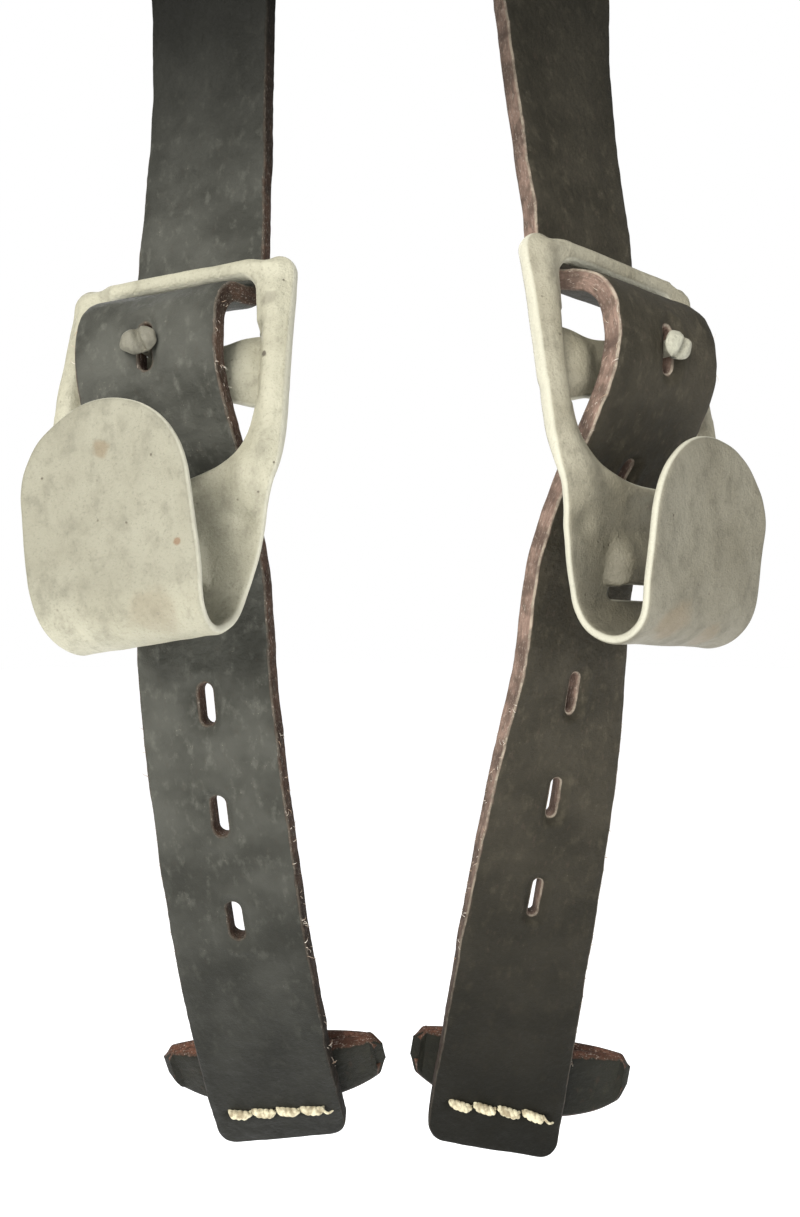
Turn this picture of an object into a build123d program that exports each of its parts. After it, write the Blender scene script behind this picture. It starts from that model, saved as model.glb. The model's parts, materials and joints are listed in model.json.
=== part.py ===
from build123d import *
import os
from math import cos, radians, sin

# Pair of harness straps. Each leather strap is folded round a shared steel ring at the top,
# threaded through a stamped steel hook and sewn to a leather keeper at its free end.
# Millimetres, +Z up, -Y faces the wearer's front. The origin is the middle of the ring's top bar,
# where the pair is held, and each hook is modelled in its own frame: x across the strap,
# y to the back, z up, with the origin in the middle of the hook's top edge.

os.makedirs("parts", exist_ok=True)

# ---- driving dimensions -----------------------------------------------------
strap_width = 25.0
strap_thickness = 3.6
end_radius = 3.5                    # corners of the strap's free end
slot_pitch = 19.2
slot_length = 7.0
slot_width = 3.2
first_slot = 6.9                    # from the lower flex line to the first free slot
wrap_slots = (-16.8, -35.5, -54.0)  # the stud's slot, one at the opening's foot, one behind the plate
upper_lengths = 8
tail_lengths = 10
curve_steps = 400

ring_wire = 5.0                     # diameter of the ring's wire
ring_width = 112.0                  # between the centres of the ring's sides
ring_height = 22.0                  # between the centres of its two long bars
ring_corner = 8.0
bar_clearance = 0.4                 # leather loop round the ring's lower bar
fold_drop = 20.0                    # from the lower bar's centre down to the end of the folded layer
fold_taper = 12.0                   # below the lower bar the folded layers lie together
fold_overlap = 0.5
fold_stitch_rise = 4.0              # from the end of the folded layer up to its stitches

sheet = 1.5                         # thickness of the hook's steel
hook_width = 42.0
opening_width = 31.0
opening_top_width = 28.2
opening_top = 2.9
opening_corner = 13.0
opening_arch_z = -22.7              # centre of the opening's rounded lower part
frame_depth = 4.0                   # depth of the folded side bars
top_bar_diameter = 2.9
top_bar_y = 1.0
shoulder_z = -28.0                  # below this the side bars draw in to the plate
lip = (-6.5, -38.5)                 # y and z of the sheet where the plate begins
plate_front = -6.0
bend_radius = 6.75
bend_center = (-10.1, -55.6)
blade_mid = (-18.1, -43.0)
blade_tip_y = -17.9
blade_half_width = 13.7
bottom_half_width = 11.8
crossbar_top = -14.2
crossbar_height = 10.3
crossbar_bow = 1.8
crossbar_y = -0.1
tongue_half_width = 8.5
tongue_top = -45.0
tongue_height = 8.0
tongue_rise = 3.0
tongue_hole = 3.5
tongue_hole_inset = 0.5             # the hole stops this far short of each side of the tongue
tongue_hole_corner = 1.0

stud_z = -16.5
stud_neck_radius = 1.3
stud_head_radius = 3.0
stud_head_thickness = 1.3
stud_head_y = -12.1
notch_width = 1.0

flex_gap = 0.4                      # clearance round each leather flex line
flex_ease = 0.05                    # the rounded end of a strap stands this far inside its faces
crown = (-8.7, -17.5)               # strap centre where it stands furthest forward, over the crossbar
crown_pull_above = ((9.2, -9.0), (-8.7, -4.5))
crown_pull_below = ((-8.7, -30.0), (8.1, -36.6))
upper_flex = (9.2, 7.7)             # strap centre at the flex line above the hook
lower_flex = (8.1, -65.0)           # strap centre at the flex line below the hook

keeper_width = 42.8
keeper_height = 14.0
keeper_depth = 6.0
keeper_wall = 2.5
keeper_round = 0.1                  # the keeper's ends are this much short of full half rounds
keeper_end_height = 8.0             # the loop's lower edge rises to this at its two ends
keeper_from_end = 4.5               # strap end below the keeper's lower edge
keeper_gap = 0.5
stitch_count = 4
stitch_length = 3.6
stitch_radius = 0.65
stitch_pitch = 4.6
stitch_lift = 0.05
stitches_from_end = 8.2
frame_edge = (
    (hook_width / 2 - 1, 0), (hook_width / 2, -1), (hook_width / 2, shoulder_z), (20.3, -37.0),
    (18.3, -42.0), (17.0, -47.5), (15.2, -52.0), (13.2, -56.0), (bottom_half_width, -63.5),
)
frame_outline = (*frame_edge, *((-x, z) for x, z in reversed(frame_edge)))
shoulder_y = top_bar_y + (lip[0] - top_bar_y) * (shoulder_z + top_bar_diameter / 2) / (
    lip[1] + top_bar_diameter / 2
)
side_bar_profile = (
    (top_bar_y - sheet / 2, -opening_top), (shoulder_y - sheet / 2, shoulder_z),
    (shoulder_y - sheet / 2 + frame_depth, shoulder_z),
    (top_bar_y - sheet / 2 + frame_depth, -opening_top),
)
blade_edge = ((bottom_half_width, -63.5), (13.9, -54.0), (blade_half_width, blade_mid[1]))

# Where each hook sits and how it is turned, and how its strap bends above and below it.
# Turns are degrees about Z, X and Y. Points are offsets in the assembly's own axes.
sides = {
    "left": {
        "hook": (-37.3, -9.2, -124.8), "turn": (-15.7, -6.0, -3.7), "loop_x": -33.5, "keeper_shift": -0.3,
        "upper_pull": (-34.5, 9.5, -79.0), "upper_rise": (-33.6, 1.5, -65.0),
        "upper_yaw": (-15.7, -26.0, -26.0, 0.0), "tip_z": -27.5,
        "tail_pull": (-30.0, -7.9, -221.0), "tail_curl": (-26.3, 0.0, -255.7),
        "tail_end": (-22.1, 13.5, -282.0), "tail_yaw": (-15.7, -13.0, -7.0, 0.0),
    },
    "right": {
        "hook": (36.5, -10.7, -123.8), "turn": (36.5, -0.2, 1.6), "loop_x": 26.0, "keeper_shift": 4.2,
        "upper_pull": (27.3, 3.5, -79.0), "upper_rise": (26.4, 1.0, -65.0),
        "upper_yaw": (36.5, 34.0, 34.0, 0.0), "tip_z": -31.4,
        "tail_pull": (26.1, 0.5, -220.9), "tail_curl": (21.2, 7.8, -252.8),
        "tail_end": (17.1, 10.9, -283.0), "tail_yaw": (36.5, 12.0, 2.0, -3.0),
    },
}


# ---- planes and curves ------------------------------------------------------
def hook_plane(side):
    """The hook's own frame as a plane, z up the strap."""
    yaw, pitch, roll = (radians(a) for a in side["turn"])
    across = Vector(cos(roll) * cos(yaw), sin(yaw), -sin(roll) * cos(yaw))
    up = Vector(
        sin(yaw) * sin(pitch) * cos(roll) + cos(pitch) * sin(roll),
        -cos(yaw) * sin(pitch),
        -sin(yaw) * sin(pitch) * sin(roll) + cos(pitch) * cos(roll),
    )
    return Plane(origin=side["hook"], x_dir=across, z_dir=up)


def side_plane(base, x=0.0):
    """Plane for profiles in the hook's y and z."""
    return Plane(origin=base.from_local_coords((x, 0, 0)), x_dir=base.y_dir, z_dir=base.x_dir)


def front_plane(base, y=0.0):
    """Plane for outlines in the hook's x and z, facing forward."""
    return Plane(origin=base.from_local_coords((0, y, 0)), x_dir=base.x_dir, z_dir=-base.y_dir)


def bezier(points, t):
    """Point and direction on a cubic curve through its first and last control points."""
    a, b, c, d = (Vector(p) for p in points)
    s = 1 - t
    place = a * s**3 + b * (3 * s * s * t) + c * (3 * s * t * t) + d * t**3
    along = (b - a) * (s * s) + (c - b) * (2 * s * t) + (d - c) * (t * t)
    return place, along.normalized()


def lengths_along(points):
    """Length of the curve up to each of its fine steps."""
    places = [bezier(points, i / curve_steps)[0] for i in range(curve_steps + 1)]
    run = [0.0]
    for a, b in zip(places, places[1:]):
        run.append(run[-1] + (b - a).length)
    return run


def curve_length(points):
    return lengths_along(points)[-1]


def at_length(points, share):
    """The curve's parameter at a share of its length."""
    run = lengths_along(points)
    goal = run[-1] * share
    return min(range(len(run)), key=lambda i: abs(run[i] - goal)) / curve_steps


def mix(values, t):
    """Four evenly spaced values blended along t."""
    s = 1 - t
    weights = (s**3, 3 * s * s * t, 3 * s * t * t, t**3)
    return sum(v * w for v, w in zip(values, weights))


def ribbon_plane(points, yaws, t):
    """Cross-section plane of a strap: x across it and y to its front face."""
    place, along = bezier(points, t)
    yaw = radians(mix(yaws, t))
    flat = Vector(cos(yaw), sin(yaw), 0)
    across = (flat - along * flat.dot(along)).normalized()
    return Plane(origin=place, x_dir=across, z_dir=along)


def ribbon_planes(points, yaws, count):
    """Even cross-sections of a strap along its curve."""
    return [ribbon_plane(points, yaws, at_length(points, k / count)) for k in range(count + 1)]


def flex_plane(section):
    """End-on plane of a flex line, which lies across the strap."""
    return Plane(origin=section.origin, x_dir=section.z_dir, z_dir=section.x_dir)


def face_plane(section, lift=0.0):
    """Plane lying in a strap's front face at one cross-section, y up the strap."""
    front = section.y_dir if section.y_dir.Y < 0 else -section.y_dir
    up = section.z_dir if section.z_dir.Z > 0 else -section.z_dir
    return Plane(origin=section.origin + front * lift, x_dir=up.cross(front), z_dir=front)


def save(piece, name):
    piece.part.label = name
    export_step(piece.part, f"parts/{name}.step")


def stitch_row(face, name):
    """Four stitches side by side across the strap, just proud of its face."""
    with BuildPart() as row:
        with BuildSketch(face.offset(stitch_lift)):
            with GridLocations(stitch_pitch, 0, stitch_count, 1):
                SlotOverall(stitch_length, 2 * stitch_radius)
        extrude(amount=stitch_radius)
    save(row, name)


# ---- the ring ---------------------------------------------------------------
with BuildPart() as top_ring:
    with BuildSketch(Plane.XZ) as ring_outline:
        with Locations((0, -ring_height / 2)):
            RectangleRounded(ring_width, ring_height, ring_corner)
    with BuildSketch(Plane.YZ) as ring_section:
        Circle(ring_wire / 2)
    sweep(sections=ring_section.sketch, path=ring_outline.sketch.face().outer_wire())
save(top_ring, "top_ring")

for hand, side in sides.items():
    base = hook_plane(side)

    # ---- leather above the hook ----
    fold_radius = ring_wire / 2 + bar_clearance + strap_thickness
    fold_end = -ring_height - fold_drop
    fold_thickness = 2 * (strap_thickness - flex_ease)
    upper_path = (
        base.from_local_coords((0, *upper_flex)),
        side["upper_pull"],
        side["upper_rise"],
        (side["loop_x"], -strap_thickness / 2, fold_end),
    )
    upper_start = ribbon_plane(upper_path, side["upper_yaw"], 0)
    with BuildPart() as strap_upper:
        for section in ribbon_planes(upper_path, side["upper_yaw"], upper_lengths):
            with BuildSketch(section):
                Rectangle(strap_width, strap_thickness)
        loft(ruled=True)
        with BuildSketch(flex_plane(upper_start)):
            Circle(strap_thickness / 2 - flex_ease)
        extrude(amount=strap_width / 2 - flex_ease, both=True)
        with BuildSketch(Plane.YZ.offset(side["loop_x"])):
            with BuildSketch(mode=Mode.PRIVATE) as drop:
                with Locations((0, -ring_height)):
                    Circle(fold_radius)
                with Locations((0, -ring_height - fold_taper)):
                    Rectangle(fold_thickness, fold_overlap)
                make_hull()
            add(drop.sketch)
            with Locations((0, fold_end - fold_overlap)):
                Rectangle(
                    fold_thickness,
                    fold_drop - fold_taper + fold_overlap,
                    align=(Align.CENTER, Align.MIN),
                )
            with Locations((0, -ring_height)):
                Circle(ring_wire / 2 + bar_clearance, mode=Mode.SUBTRACT)
        extrude(amount=strap_width / 2 - flex_ease, both=True)
    save(strap_upper, f"strap_upper_{hand}")
    fold_face = Plane(
        origin=(side["loop_x"], -strap_thickness, fold_end + fold_stitch_rise),
        x_dir=(1, 0, 0),
        z_dir=(0, -1, 0),
    )
    stitch_row(fold_face, f"loop_stitches_{hand}")

    # ---- leather threaded through the hook ----
    over = (upper_flex, *crown_pull_above, crown)
    under = (crown, *crown_pull_below, lower_flex)
    with BuildPart() as strap_wrap:
        with BuildSketch(side_plane(base)):
            with BuildLine():
                Bezier(*over)
                Bezier(*under)
            trace(line_width=strap_thickness)
        extrude(amount=strap_width / 2, both=True)
        with BuildSketch(side_plane(base)):
            with Locations(upper_flex, lower_flex):
                Circle(strap_thickness / 2 + flex_gap)
        extrude(amount=strap_width, both=True, mode=Mode.SUBTRACT)
        for wrap_slot_z in wrap_slots:
            with BuildSketch(front_plane(base)):
                with Locations((0, wrap_slot_z)):
                    SlotOverall(slot_length, slot_width, rotation=90)
            extrude(amount=strap_width, both=True, mode=Mode.SUBTRACT)
    save(strap_wrap, f"strap_wrap_{hand}")

    # ---- leather below the hook, with its three free slots ----
    tail_path = (
        base.from_local_coords((0, *lower_flex)),
        side["tail_pull"],
        side["tail_curl"],
        side["tail_end"],
    )
    tail_yaw = side["tail_yaw"]
    tail_length = curve_length(tail_path)
    with BuildPart() as strap_tail:
        for section in ribbon_planes(tail_path, tail_yaw, tail_lengths):
            with BuildSketch(section):
                Rectangle(strap_width, strap_thickness)
        loft(ruled=True)
        end_face = strap_tail.faces().sort_by_distance(tail_path[3])[0]
        fillet(end_face.edges().sort_by(Edge.length)[:2], end_radius)
        with BuildSketch(flex_plane(ribbon_plane(tail_path, tail_yaw, 0))):
            Circle(strap_thickness / 2 - flex_ease)
        extrude(amount=strap_width / 2 - flex_ease, both=True)
        for k in range(3):
            slot_place = (first_slot + k * slot_pitch) / tail_length
            slot_section = ribbon_plane(tail_path, tail_yaw, at_length(tail_path, slot_place))
            with BuildSketch(face_plane(slot_section)):
                SlotOverall(slot_length, slot_width, rotation=90)
            extrude(amount=strap_thickness, both=True, mode=Mode.SUBTRACT)
    save(strap_tail, f"strap_tail_{hand}")

    # ---- keeper and its stitches ----
    keeper_place = 1 - (keeper_from_end + keeper_height / 2) / tail_length
    keeper_face = face_plane(
        ribbon_plane(tail_path, tail_yaw, at_length(tail_path, keeper_place)),
        -strap_thickness / 2 - keeper_gap,
    )
    keeper_across = Plane(
        origin=keeper_face.origin, x_dir=keeper_face.x_dir, z_dir=keeper_face.y_dir
    )
    with BuildPart() as keeper:
        with BuildSketch(keeper_across):
            with Locations((side["keeper_shift"], keeper_depth / 2)):
                RectangleRounded(keeper_width, keeper_depth, keeper_depth / 2 - keeper_round)
                inside = keeper_depth - 2 * keeper_wall
                RectangleRounded(
                    keeper_width - 2 * keeper_wall, inside, inside / 2 - keeper_round, mode=Mode.SUBTRACT
                )
        extrude(amount=keeper_height / 2, both=True)
        with BuildSketch(keeper_face):
            with BuildLine():
                belly_end = keeper_height / 2 - keeper_end_height
                half = keeper_width / 2
                middle = side["keeper_shift"]
                ThreePointArc(
                    (middle - half, belly_end), (middle, -keeper_height / 2), (middle + half, belly_end)
                )
                Polyline(
                    (middle + half, belly_end),
                    (middle + half, -keeper_height),
                    (middle - half, -keeper_height),
                    (middle - half, belly_end),
                )
            make_face()
        extrude(amount=2 * keeper_depth, both=True, mode=Mode.SUBTRACT)
    save(keeper, f"keeper_{hand}")
    stitch_place = 1 - stitches_from_end / tail_length
    tail_stitch_plane = face_plane(
        ribbon_plane(tail_path, tail_yaw, at_length(tail_path, stitch_place)), strap_thickness / 2
    )
    stitch_row(tail_stitch_plane, f"keeper_stitches_{hand}")

    # ---- the stamped hook ----
    with BuildPart() as hook:
        with BuildSketch(side_plane(base)):
            with BuildLine():
                Polyline(
                    (top_bar_y, -top_bar_diameter / 2),
                    lip,
                    (bend_center[0] + bend_radius, bend_center[1]),
                )
                CenterArc(bend_center, bend_radius, 0, -180)
                Spline(
                    (bend_center[0] - bend_radius, bend_center[1]),
                    blade_mid,
                    (blade_tip_y, side["tip_z"]),
                )
            trace(line_width=sheet)
        extrude(amount=hook_width / 2, both=True)
        with BuildSketch(side_plane(base)):
            Polygon(*side_bar_profile, align=None)
        extrude(amount=hook_width / 2, both=True)
        # outline of the frame and plate
        with BuildSketch(front_plane(base, bend_center[0])):
            Rectangle(2 * hook_width, 4 * hook_width)
            with BuildLine():
                Polyline(*frame_outline, close=True)
            make_face(mode=Mode.SUBTRACT)
        extrude(amount=-hook_width, mode=Mode.SUBTRACT)
        # outline of the blade
        with BuildSketch(front_plane(base, bend_center[0])):
            Rectangle(2 * hook_width, 4 * hook_width)
            with BuildSketch(mode=Mode.PRIVATE) as blade:
                with BuildLine():
                    Spline(*blade_edge)
                    ThreePointArc(
                        (blade_half_width, blade_mid[1]),
                        (0, side["tip_z"]),
                        (-blade_half_width, blade_mid[1]),
                    )
                    Spline(*((-x, z) for x, z in reversed(blade_edge)))
                    Line(blade_edge[0], (-blade_edge[0][0], blade_edge[0][1]))
                make_face()
            add(blade.sketch, mode=Mode.SUBTRACT)
        extrude(amount=hook_width, mode=Mode.SUBTRACT)
        # the opening for the strap
        with BuildSketch(front_plane(base)):
            with Locations((0, opening_arch_z)):
                RectangleRounded(opening_width, opening_width, opening_corner)
            with Locations((0, -opening_top)):
                Rectangle(opening_top_width, sheet, align=(Align.CENTER, Align.MAX))
            make_hull()
        extrude(amount=hook_width / 2, both=True, mode=Mode.SUBTRACT)
        # rolled top bar
        with BuildSketch(side_plane(base)):
            with Locations((top_bar_y, -top_bar_diameter / 2)):
                Circle(top_bar_diameter / 2)
        extrude(amount=hook_width / 2 - top_bar_diameter / 2, both=True)
        # bowed crossbar
        crossbar_end_on = Plane(
            origin=base.from_local_coords((0, 0, crossbar_top)), x_dir=base.x_dir, z_dir=-base.z_dir
        )
        with BuildSketch(crossbar_end_on):
            with BuildLine():
                ThreePointArc(
                    (-opening_width / 2 - sheet, -crossbar_y),
                    (0, crossbar_bow - crossbar_y),
                    (opening_width / 2 + sheet, -crossbar_y),
                )
            trace(line_width=sheet)
        extrude(amount=crossbar_height)
        # pressed tongue in the plate, over its own hole
        with BuildSketch(side_plane(base)):
            Polygon(
                (plate_front, tongue_top),
                (plate_front - tongue_rise, tongue_top - tongue_height),
                (plate_front - tongue_rise + sheet, tongue_top - tongue_height),
                (plate_front + sheet, tongue_top),
                align=None,
            )
        extrude(amount=tongue_half_width, both=True)
        with BuildSketch(front_plane(base)):
            with Locations((0, tongue_top - tongue_height - tongue_hole / 2)):
                RectangleRounded(
                    2 * (tongue_half_width - tongue_hole_inset), tongue_hole, tongue_hole_corner
                )
        extrude(amount=-plate_front * 2, mode=Mode.SUBTRACT)
    save(hook, f"hook_{hand}")

    # ---- stud riveted to the crossbar ----
    crossbar_front = crossbar_y - crossbar_bow - sheet / 2
    with BuildPart() as stud:
        with BuildSketch(front_plane(base, crossbar_front)):
            with Locations((0, stud_z)):
                Circle(stud_neck_radius)
        extrude(amount=crossbar_front - stud_head_y)
        with BuildSketch(front_plane(base, stud_head_y)):
            with Locations((0, stud_z)):
                Circle(stud_head_radius)
                Rectangle(notch_width, 2 * stud_head_radius, mode=Mode.SUBTRACT)
        extrude(amount=-stud_head_thickness)
    save(stud, f"stud_{hand}")
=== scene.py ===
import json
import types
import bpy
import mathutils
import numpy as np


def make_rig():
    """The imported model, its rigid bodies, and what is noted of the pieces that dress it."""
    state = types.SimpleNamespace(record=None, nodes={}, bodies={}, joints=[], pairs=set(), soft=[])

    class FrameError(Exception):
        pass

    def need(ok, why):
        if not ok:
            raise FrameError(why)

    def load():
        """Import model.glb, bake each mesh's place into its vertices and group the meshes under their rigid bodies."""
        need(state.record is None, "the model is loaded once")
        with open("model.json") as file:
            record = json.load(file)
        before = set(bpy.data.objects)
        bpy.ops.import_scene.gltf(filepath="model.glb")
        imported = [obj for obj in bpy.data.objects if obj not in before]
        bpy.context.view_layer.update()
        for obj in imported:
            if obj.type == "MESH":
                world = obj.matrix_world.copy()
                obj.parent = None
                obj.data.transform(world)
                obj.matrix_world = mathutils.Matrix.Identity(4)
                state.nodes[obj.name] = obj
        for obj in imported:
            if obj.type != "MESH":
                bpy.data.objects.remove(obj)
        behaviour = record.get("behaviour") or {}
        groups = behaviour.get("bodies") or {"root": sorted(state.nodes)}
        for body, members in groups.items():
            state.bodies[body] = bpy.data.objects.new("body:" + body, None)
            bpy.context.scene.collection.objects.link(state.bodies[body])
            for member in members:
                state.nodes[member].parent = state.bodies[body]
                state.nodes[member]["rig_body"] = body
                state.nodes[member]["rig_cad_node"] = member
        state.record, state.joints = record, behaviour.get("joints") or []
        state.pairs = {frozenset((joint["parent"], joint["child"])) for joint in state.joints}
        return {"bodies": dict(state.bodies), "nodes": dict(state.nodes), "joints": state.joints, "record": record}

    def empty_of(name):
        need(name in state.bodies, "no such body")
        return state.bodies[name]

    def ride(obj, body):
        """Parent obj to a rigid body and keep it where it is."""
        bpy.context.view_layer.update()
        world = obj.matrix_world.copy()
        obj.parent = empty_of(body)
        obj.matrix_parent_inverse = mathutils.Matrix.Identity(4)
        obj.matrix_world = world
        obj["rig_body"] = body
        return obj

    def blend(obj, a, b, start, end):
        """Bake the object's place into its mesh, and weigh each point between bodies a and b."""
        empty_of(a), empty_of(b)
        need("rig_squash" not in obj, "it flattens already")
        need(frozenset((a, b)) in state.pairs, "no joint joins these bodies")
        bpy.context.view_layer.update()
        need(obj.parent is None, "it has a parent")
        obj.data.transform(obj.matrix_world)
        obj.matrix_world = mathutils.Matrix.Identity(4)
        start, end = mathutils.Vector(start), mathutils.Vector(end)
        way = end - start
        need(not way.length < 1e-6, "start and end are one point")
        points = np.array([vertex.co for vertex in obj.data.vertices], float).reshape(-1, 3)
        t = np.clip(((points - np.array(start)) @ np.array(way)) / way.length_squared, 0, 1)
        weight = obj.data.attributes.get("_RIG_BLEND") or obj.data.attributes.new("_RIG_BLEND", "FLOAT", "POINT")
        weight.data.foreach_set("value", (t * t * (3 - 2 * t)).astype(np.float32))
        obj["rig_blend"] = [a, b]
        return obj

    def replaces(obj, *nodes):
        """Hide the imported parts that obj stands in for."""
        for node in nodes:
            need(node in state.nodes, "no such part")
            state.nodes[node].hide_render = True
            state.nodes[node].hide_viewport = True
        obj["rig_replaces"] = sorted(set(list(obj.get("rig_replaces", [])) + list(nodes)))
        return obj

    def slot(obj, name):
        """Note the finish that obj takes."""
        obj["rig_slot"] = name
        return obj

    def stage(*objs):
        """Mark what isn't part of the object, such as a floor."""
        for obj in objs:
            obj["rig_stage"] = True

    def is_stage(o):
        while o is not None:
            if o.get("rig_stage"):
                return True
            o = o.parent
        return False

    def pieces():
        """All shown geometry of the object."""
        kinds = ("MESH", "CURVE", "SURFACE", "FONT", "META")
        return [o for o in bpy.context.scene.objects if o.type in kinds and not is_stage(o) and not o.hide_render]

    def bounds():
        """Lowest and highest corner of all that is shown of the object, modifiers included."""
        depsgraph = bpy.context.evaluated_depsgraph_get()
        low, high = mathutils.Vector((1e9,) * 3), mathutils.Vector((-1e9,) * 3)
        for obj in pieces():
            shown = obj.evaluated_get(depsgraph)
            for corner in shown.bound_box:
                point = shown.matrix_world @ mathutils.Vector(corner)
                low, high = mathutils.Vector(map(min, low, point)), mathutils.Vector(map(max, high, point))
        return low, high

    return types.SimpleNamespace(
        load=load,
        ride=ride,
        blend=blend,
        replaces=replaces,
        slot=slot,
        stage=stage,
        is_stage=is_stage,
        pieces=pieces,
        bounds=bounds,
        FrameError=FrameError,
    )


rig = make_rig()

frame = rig.load()
cad_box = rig.bounds()

import json
import math

import bmesh
import bpy
import numpy as np
from mathutils import Vector
from mathutils import noise as wave

# Looks of a pair of harness straps with stamped steel hooks, made in millimetres and
# written to the meshes in metres. Each strap and each hook is a sheet: u runs across it,
# v along it from the top, and w stands out from its face. The "flat" attribute keeps those
# three for the materials, and "cut" is 1 on cut edges and 0 on faces.

MM = 0.001
SIZE_FILE = "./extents.json"

# ---- sizes shared with the CAD part, in millimetres
STRAP_WIDTH = 25.0
STRAP_THICKNESS = 3.6
SLOT_PITCH = 19.2
SLOT_LENGTH = 7.0
RING_WIRE = 5.0
RING_WIDTH = 112.0
RING_HEIGHT = 22.0
RING_CORNER = 8.0
LOOP_RADIUS = 4.7                    # ring centre to the strap's middle, round its lower bar
FOLD_DROP = 20.0
FOLD_TAPER = 12.0
SHEET = 1.5
HOOK_HALF = 21.0
OPENING_HALF = 15.6
OPENING_TOP_HALF = 14.0
OPENING_TOP = 2.9
OPENING_FOOT = -38.2
ARCH_Z = -24.0
BAR_RADIUS = 1.45
LIP = (-6.5, -38.5)
BEND_CENTRE = (-10.1, -55.6)
BEND_RADIUS = 6.75
BLADE_RADIUS = 13.7
CROSSBAR_Z = -19.3
CROSSBAR_HALF = 5.1
TONGUE = (-45.0, -53.0)              # top and lower edge of the pressed tongue
TONGUE_HALF = 8.2
TONGUE_HOLE = 2.9
HOLE_HALF = 5.8
UPPER_FLEX = (9.2, 7.7)
LOWER_FLEX = (8.1, -65.0)
CROWN = (-8.7, -17.5)
OVER = ((9.2, -13.5), (-8.7, 1.0))
UNDER = ((-8.7, -30.0), (8.1, -36.6))
WRAP_SLOTS = (-16.8, -35.5, -54.0)
FIRST_SLOT = 6.9
SEAT = (-10.1, -60.85)               # y and z of the hook seat mount in the hook's own frame
STUD_Z = -16.5
STUD_FOOT_Y = -2.6
STUD_HEAD_Y = -11.4
KEEPER_HALF = 21.4
KEEPER_HEIGHT = 14.0
KEEPER_WALL = 2.4
KEEPER_DEPTH = 2.7                   # half the depth of the flattened loop
KEEPER_FROM_END = 4.5
STITCH_PITCH = 4.6
STITCHES_FROM_END = 8.2
END_RADIUS = 3.5
TOP_SHADE = (76.0, 150.0)           # lengths along a strap between which its painted shade at the top fades out
END_SHADE = (212.0, 320.0)           # and between which painted shade darkens it again towards its end

# the hook's half width at heights down its frame and plate
FRAME_WIDTHS = (
    (0.0, 20.8), (-12.0, 20.9), (-28.0, 20.9), (-37.0, 20.2), (-42.0, 18.3), (-47.5, 17.0),
    (-52.0, 15.2), (-56.0, 13.2),
)

SIDES = {
    "left": dict(
        upper_pull=(-34.5, 9.5, -79.0), upper_rise=(-33.6, 1.5, -65.0),
        upper_yaw=(-15.7, -26.0, -26.0, 0.0),
        tail_pull=(-30.0, -7.9, -221.0), tail_curl=(-26.3, 0.0, -255.7),
        tail_end=(-22.1, 13.5, -282.0), tail_yaw=(-15.7, -13.0, -7.0, 0.0),
        slot_widths=(2.2, 2.2, 1.4, 2.6, 2.6, 2.6),
        keeper_shift=-0.3, tip_z=-27.5, lean=0.10, stud_lean=20, seed=3,
    ),
    "right": dict(
        upper_pull=(27.3, 3.5, -79.0), upper_rise=(26.4, 1.0, -65.0),
        upper_yaw=(36.5, 34.0, 34.0, 0.0),
        tail_pull=(26.1, 0.5, -220.9), tail_curl=(21.2, 7.8, -252.8),
        tail_end=(17.1, 10.9, -283.0), tail_yaw=(36.5, 9.0, 2.0, -3.0),
        slot_widths=(2.2, 1.6, 1.4, 1.7, 1.7, 1.5),
        keeper_shift=4.2, tip_z=-31.4, lean=-0.03, stud_lean=-28, seed=11,
    ),
}


# ---- colours
# A stain is its place on the sheet, its radius, its colour and its strength.
BRIGHT = (0.62, 0.60, 0.48)          # bare cut edges of painted steel
RUST, BROWN, DARK = (0.20, 0.10, 0.045), (0.20, 0.145, 0.08), (0.09, 0.075, 0.055)
LOOKS = {
    "left": {
        # the straps are one leather; this left copy's lighter grey faces are partly a painted sheen, its darker cut
        # edges partly painted shade
        "leather": dict(
            dark=(0.042, 0.042, 0.034), pale=(0.088, 0.088, 0.074), raw=(0.085, 0.052, 0.036),
            seed=1, specks=0.7, top=0.0, end=0.10, rim=0.12,
        ),
        # the hooks share one paint; this left copy is lighter as painted light, the right copy darker as painted shade
        "paint": dict(
            base=(0.47, 0.45, 0.34), shade=(0.38, 0.36, 0.265), seed=2, fade=(70.0, 80.0, 0.42),
            stains=(
                ((0.5, 98.5), 1.7, BROWN, 0.6), ((11.0, 83.0), 0.7, RUST, 0.7),
                ((17.5, 9.0), 1.7, DARK, 0.35), ((17.4, 19.0), 0.6, DARK, 0.9),
                ((5.0, 74.0), 4.5, BROWN, 0.25),
            ),
        ),
        # the studs' paint is one worn dark grey; this left copy is darker as painted shade
        "stud": dict(base=(0.20, 0.19, 0.145), shade=(0.12, 0.11, 0.08), stains=(), seed=4),
    },
    "right": {
        # the right copy's darker faces are partly painted shade, its lighter cut edges and pale corners partly painted
        # light
        "leather": dict(
            dark=(0.030, 0.026, 0.017), pale=(0.052, 0.045, 0.031), raw=(0.27, 0.185, 0.145),
            seed=8, specks=0.5, top=0.3, end=0.05, rim=0.5,
        ),
        # painted shade: the right hook's copy of the one paint, darker than the left's
        "paint": dict(
            base=(0.34, 0.315, 0.235), shade=(0.26, 0.235, 0.165), seed=6, fade=(38.0, 54.0, 0.48),
            stains=(
                ((-6.0, 74.0), 4.0, BROWN, 0.45), ((17.0, 30.0), 1.2, BROWN, 0.4),
                ((4.0, 72.0), 3.0, BROWN, 0.35),
            ),
        ),
        # the right stud's copy of the same paint, lighter as painted light
        "stud": dict(base=(0.42, 0.41, 0.32), shade=(0.24, 0.22, 0.17), stains=(), seed=4),
    },
}
KEEPER_LOOK = dict(
    dark=(0.010, 0.0098, 0.0065), pale=(0.018, 0.0175, 0.012), raw=(0.15, 0.07, 0.045),
    seed=5, specks=0.2, top=1.0, end=1.0, rim=0.1,
)


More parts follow.
